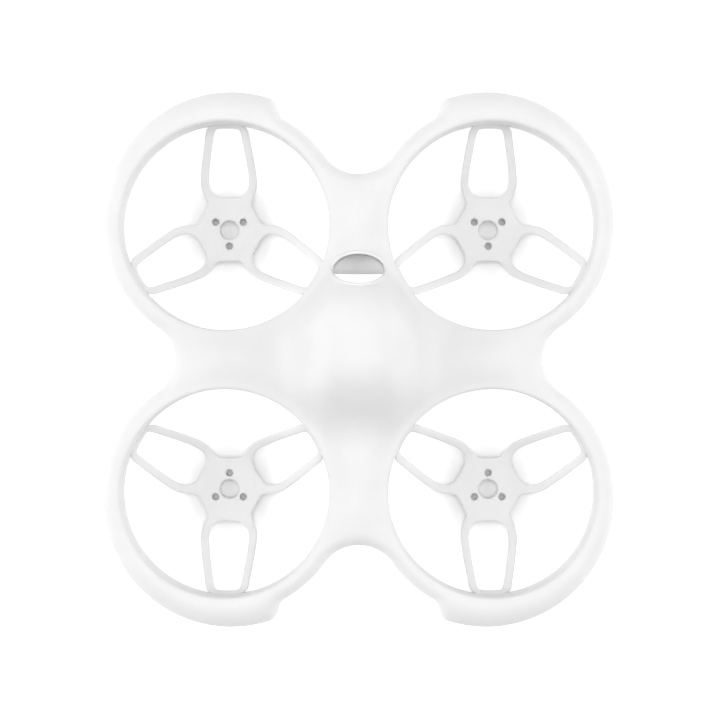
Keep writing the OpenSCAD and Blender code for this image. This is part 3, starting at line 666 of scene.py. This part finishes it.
def scoop_mesh(across=57, along=29):
    """Each skin is z = ball_z - sqrt(r^2 - x^2 - (y - ball_y)^2). Seen from above its
    leaning round rim is an oval, and each row of the grid runs across from rim to rim."""
    skins = []
    for radius in (scoop_r, scoop_r + SCOOP_T):
        rim = np.sqrt(radius ** 2 - (scoop_r - SCOOP_DEEP) ** 2)
        low, reach = SCOOP_EDGE_Y - scoop_rim[1], rim * np.cos(SCOOP_SLOPE)
        y = low + (reach - low) * np.sin(np.linspace(0, np.pi / 2, along))[:, None]
        half = rim * np.sqrt(np.maximum(0, 1 - (y / reach) ** 2))
        x = half * np.sin(np.linspace(-np.pi / 2, np.pi / 2, across))
        y = y + scoop_rim[1] + 0 * x
        z = ball[2] - np.sqrt(np.maximum(0, radius ** 2 - x ** 2 - (y - ball[1]) ** 2))
        skins.append(np.stack([x, y, z], axis=-1).reshape(-1, 3))
    number = np.arange(across * along).reshape(along, across)
    inner = grid_quads(along, across)
    loop = np.concatenate([number[0, :], number[1:, -1], number[-1, -2::-1], number[-2:0:-1, 0]])
    after = np.roll(loop, -1)
    hem = np.stack([loop, loop + len(skins[0]), after + len(skins[0]), after], axis=-1)
    return weld(np.concatenate(skins), [inner[:, ::-1], inner + len(skins[0]), hem])


scoop = new_object("scoop", *scoop_mesh(), sharp=40)

# %% [markdown]
# ## Which piece stands for which CAD node
# A new piece takes the place of the CAD node it was made from, moves with the same body,
# and names the material slot of the record that it is finished in.

# %% Taking the places of the CAD nodes
replacing = {shell: ("canopy_shell", "shell_plastic"), scoop: ("nose_scoop", "shell_plastic")}
replacing |= {ducts[place]: ("duct_" + place, "frame_plastic") for place in ducts}
for piece, (node, slot) in replacing.items():
    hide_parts(node)
    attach(piece, "airframe")
print("replaced:", sorted(node for node, _ in replacing.values()))

# %% [markdown]
# ## Materials as sums
# A shader is arithmetic on the place of a point. Wrapping a node's output in a small class
# with + - * ** and abs lets that arithmetic be written as arithmetic.


# %% Shader values and finishes
class Value:
    """One output of a node. Adding, multiplying and so on makes a Math node."""

    def __init__(self, finish, socket):
        self.finish, self.socket = finish, socket

    def math(self, operation, first, second=0.0, clamp=False):
        """A Math node on two values or numbers."""
        settings = {"operation": operation, "use_clamp": clamp}
        return self.finish.node("Math", settings, {0: first, 1: second})

    def __add__(self, other):
        return self.math("ADD", self, other)

    def __radd__(self, other):
        return self.math("ADD", other, self)

    def __sub__(self, other):
        return self.math("SUBTRACT", self, other)

    def __rsub__(self, other):
        return self.math("SUBTRACT", other, self)

    def __mul__(self, other):
        return self.math("MULTIPLY", self, other)

    def __rmul__(self, other):
        return self.math("MULTIPLY", other, self)

    def __pow__(self, other):
        return self.math("POWER", self, other)

    def __abs__(self):
        return self.math("ABSOLUTE", self)

    def between(self, low, high):
        """0 at `low`, 1 at `high`, held to that range."""
        return self.math("MULTIPLY", self - low, 1 / (high - low), clamp=True)

    def wave(self):
        """The sine of this value, from 0 to 1."""
        return self.math("SINE", self) * 0.5 + 0.5


class Finish:
    """A material: its Principled BSDF with the constants given, and a way to add nodes."""

    def __init__(self, title, **constants):
        self.material = bpy.data.materials.new(title)
        self.material.use_nodes = True
        self.tree = self.material.node_tree
        self.surface = self.tree.nodes["Principled BSDF"]
        for socket, value in constants.items():
            name = socket.replace("_", " ").title().replace("Ior", "IOR")
            self.surface.inputs[name].default_value = value
        self.place = self.node("TexCoord", output="Object")

    def socket(self, sockets, key):
        """A socket by its number, its name, or its identifier where names repeat."""
        same = [s for s in sockets if key in (s.identifier, s.name)]
        return sockets[key] if isinstance(key, int) else same[0]

    def join(self, value, socket):
        """Links a Value to a socket, or sets the socket to a constant."""
        if isinstance(value, Value):
            self.tree.links.new(value.socket, socket)
        else:
            socket.default_value = value

    def node(self, kind, settings=None, inputs=None, output=0):
        """Any node: its settings first, as they can change its sockets, then its inputs."""
        made = self.tree.nodes.new("ShaderNode" + kind)
        for name, value in (settings or {}).items():
            setattr(made, name, value)
        for key, value in (inputs or {}).items():
            self.join(value, self.socket(made.inputs, key))
        return Value(self, self.socket(made.outputs, output))

    def noise(self, size_mm, detail=2.0, stretch=(1, 1, 1)):
        """Smooth noise from 0 to 1 with features about `size_mm` across."""
        place = self.node("Mapping", None, {"Vector": self.place, "Scale": stretch})
        return self.node("TexNoise", None, {"Vector": place, "Scale": 1 / (size_mm * MM),
                                            "Detail": detail, "Roughness": 0.55})

    def axis(self, name):
        """One coordinate of the point, in mm."""
        return self.node("SeparateXYZ", None, {0: self.place}, name) * (1 / MM)

    def blend(self, share, first, second):
        """A colour between two colours."""
        return self.node("Mix", {"data_type": "RGBA"}, {
            "Factor_Float": share, "A_Color": first, "B_Color": second}, "Result_Color")

    def set(self, **varying):
        """Joins values that vary to the shader's sockets, such as base_color."""
        for name, value in varying.items():
            self.join(value, self.surface.inputs[name.replace("_", " ").title()])

    def bump(self, height, depth_mm, strength=1.0):
        """Tilts the light by a height from 0 to 1 that stands for `depth_mm`."""
        tilt = self.node("Bump", None, {"Height": height, "Strength": strength,
                                        "Distance": depth_mm * MM})
        self.join(tilt, self.surface.inputs["Normal"])


def grey(level, warm=0.0):
    """A grey colour, a little towards yellow for a positive `warm`."""
    return (level * (1 + warm), level, level * (1 - warm), 1)


# %% [markdown]
# ## Plastics, rubber and foam
# A plastic moulding is never one colour and one gloss: it has cloudy variation a few
# millimetres wide, and a fine spark-eroded grain that spreads the highlights. One recipe
# with different sizes serves every moulded or cast piece.


# %% Moulded finishes
CLOUDS = (0.3, 0.7)     # the part of a noise's range where most of it lies


def moulded(name, dark, light, rough, cloud_mm=9.0, grain_mm=0.35, grain_deep=0.004,
            **constants):
    """Clouds blend two colours; the grain moves the roughness and the slope of the surface."""
    finish = Finish(name, **constants)
    clouds, grain = finish.noise(cloud_mm, 3), finish.noise(grain_mm, 2)
    finish.set(base_color=finish.blend(clouds.between(*CLOUDS), dark, light),
               roughness=rough[0] + (rough[1] - rough[0]) * grain.between(*CLOUDS))
    finish.bump(grain, grain_deep, 0.6)
    return finish.material


finishes = {
    "shell_plastic": moulded("shell_plastic", grey(0.79), grey(0.82), (0.60, 0.70),
                             specular_ior_level=0.35),
    "frame_plastic": moulded("frame_plastic", grey(0.76), grey(0.79), (0.58, 0.68),
                             specular_ior_level=0.35),
    "cradle_plastic": moulded("cradle_plastic", grey(0.60), grey(0.66), (0.55, 0.65), 4.0),
    "grommet_rubber": moulded("grommet_rubber", (0.62, 0.18, 0.03, 1), (0.72, 0.24, 0.05, 1),
                              (0.6, 0.75), 1.5, 0.2),
    "chip_black": moulded("chip_black", grey(0.018), grey(0.03), (0.5, 0.62), 2.0, 0.12),
    "antenna_ceramic": moulded("antenna_ceramic", grey(0.66, 0.06), grey(0.74, 0.05),
                               (0.2, 0.3), 2.0, 0.2),
    "socket_nylon": moulded("socket_nylon", grey(0.68, 0.08), grey(0.76, 0.06), (0.4, 0.5),
                            2.0, 0.2),
    "lead_silicone": moulded("lead_silicone", (0.35, 0.012, 0.01, 1), (0.45, 0.02, 0.016, 1),
                             (0.4, 0.55), 2.0, 0.15),
    "pad_foam": moulded("pad_foam", grey(0.03), grey(0.06), (0.85, 0.97), 1.2, 0.3, 0.08),
    "light_epoxy": moulded("light_epoxy", grey(0.72, 0.03), grey(0.80, 0.02), (0.12, 0.2),
                           0.8, 0.2, 0.001, coat_weight=0.6, coat_roughness=0.08),
}

# %% [markdown]
# ## Metals
# Turned screws carry fine scratches round their axis and drawn parts carry them along one
# direction, so the noise is stretched that way. Plated contacts are smooth with faint
# clouds in their gloss.


# %% Metal finishes
def metal(name, dark, light, rough, stretch, size_mm, scratch_deep=0.002):
    """Stretched noise moves the colour, the roughness and the slope together."""
    finish = Finish(name, metallic=1.0)
    lines, clouds = finish.noise(size_mm, 4, stretch), finish.noise(1.5, 2)
    finish.set(base_color=finish.blend(clouds.between(*CLOUDS), dark, light),
               roughness=rough[0] + (rough[1] - rough[0]) * (lines * 0.6 + clouds * 0.4))
    finish.bump(lines, scratch_deep, 0.5)
    return finish.material


finishes["screw_steel"] = metal("screw_steel", grey(0.10), grey(0.17), (0.3, 0.5), (1, 1, 6),
                                0.3)
finishes["sensor_cans"] = metal("sensor_cans", grey(0.48), grey(0.58), (0.28, 0.42), (8, 1, 1),
                                0.6)
finishes["plated_metal"] = metal("plated_metal", grey(0.62), grey(0.74), (0.1, 0.24), (1, 6, 1),
                                 0.5)
finishes["cell_pouch"] = metal("cell_pouch", (0.46, 0.50, 0.56, 1), (0.56, 0.60, 0.66, 1),
                               (0.25, 0.45), (1, 1, 1), 4.0, 0.12)

# %% [markdown]
# ## The circuit board
# Under green solder mask the copper tracks stand a few hundredths of a millimetre proud and
# look lighter. Sines along x and y, bent by noise and cut off sharply, lay out track-like
# stripes, and a clear coat gives the mask its gloss.

# %% Circuit board finish
TRACK_TURN = 7.0        # radians of the sine for each mm
TRACK_EDGE = (0.62, 0.72)
board = Finish("circuit_board", coat_weight=0.5, coat_roughness=0.15)
bend = board.noise(3.0, 0) * 5
along_x = ((board.axis("X") + bend) * TRACK_TURN).wave().between(*TRACK_EDGE)
along_y = ((board.axis("Y") + bend) * TRACK_TURN).wave().between(*TRACK_EDGE)
choice = board.noise(4.0, 0).between(0.49, 0.51)
tracks = along_x * choice + along_y * (1 - choice)
board.set(base_color=board.blend(tracks, (0.008, 0.045, 0.03, 1), (0.02, 0.09, 0.055, 1)),
          roughness=0.32 + 0.1 * board.noise(0.4))
board.bump(tracks, 0.03, 0.8)
finishes["circuit_board"] = board.material
print(len(finishes), "finishes")

# %% [markdown]
# Every CAD node that is still shown keeps its own mesh and takes the finish of its slot. The
# record says which slot a node belongs to, so nothing has to be listed a second time.

# %% Putting the finishes on
slot_of = {row["node"]: row["material_slot"] for row in record["subparts"]}
for piece, (node, slot) in replacing.items():
    piece.data.materials.clear()
    piece.data.materials.append(finishes[slot])
shown = sorted(set(nodes) - {node for node, _ in replacing.values()})
for name in shown:
    nodes[name].data.materials.clear()
    nodes[name].data.materials.append(finishes[slot_of[name]])
print("CAD nodes with a finish:", len(shown))

# %% [markdown]
# ## The set
# The airframe stands on a plane that plays a white sweep. A glow keeps it white where the
# light falls off. The glow would drown the shadows under the motor mounts, so it is masked
# out round each of them. The floor there, and in the screw holes, is darker by painted shade
# as well as by real shadow. A real sweep has no such patches: this is a cheat for the look.

# %% Floor
def plane(name, half, z):
    """A square floor of 2 x `half` mm, centred on the z axis."""
    corners = np.array([(-half, -half, z), (half, -half, z), (half, half, z), (-half, half, z)])
    return new_object(name, corners, [[0, 1, 2, 3]])


FLOOR_HALF, GLOW_FULL = 900.0, 2.2 * HUB_FLAT
floor = plane("floor", FLOOR_HALF, cad_box[0][2] / MM)
sweep = Finish("sweep", roughness=0.9, specular_ior_level=0.1, emission_strength=0.45)
shade = sweep.blend(sweep.noise(120), grey(0.88), grey(0.90))
across, along = abs(sweep.axis("X")) - hub[0], abs(sweep.axis("Y")) - hub[1]
from_hub = (across * across + along * along) ** 0.5
# Painted shade: no glow near each motor axis, full glow from GLOW_FULL out, so the floor round the
# mounts reads darker
glow_with_painted_shade = sweep.blend(from_hub.between(HUB_FLAT, GLOW_FULL), grey(0.0), shade)
sweep.set(base_color=shade, emission_color=glow_with_painted_shade)
floor.data.materials.append(sweep.material)

# %% [markdown]
# A large soft light overhead, a little towards the nose, shapes the canopy: its tail turns
# away from it and reads as pale grey. Softboxes on both sides, the left one stronger, and
# white surroundings fill the rest, as a light tent does. Their watts
# were fitted to the tones wanted, so they say nothing about a real set.

# %% Lights and surroundings
def softbox(name, at_mm, size_mm, watts):
    """A square area light that points at the middle of the airframe."""
    data = bpy.data.lights.new(name, "AREA")
    data.size, data.energy = size_mm * MM, watts
    thing = bpy.data.objects.new(name, data)
    thing.location = Vector(at_mm) * MM
    thing.rotation_euler = thing.location.to_track_quat("Z", "Y").to_euler()
    bpy.context.scene.collection.objects.link(thing)


softbox("top", (0, 60, 900), 600, 3.6)
softbox("front", (0, 700, 420), 500, 0.3)
softbox("left", (-700, 0, 420), 500, 2.9)
softbox("right", (700, 0, 420), 500, 2.5)
world = bpy.data.worlds.new("tent")
world.use_nodes = True
background = world.node_tree.nodes["Background"].inputs
background["Color"].default_value = (1, 1, 1, 1)
background["Strength"].default_value = 0.345
bpy.context.scene.world = world
bpy.context.scene.view_settings.view_transform = "Standard"

# %% [markdown]
# Last comes a note of the size: the CAD model's own box.

# %% Sizes, and the end
print("CAD box:  ", cad_box)
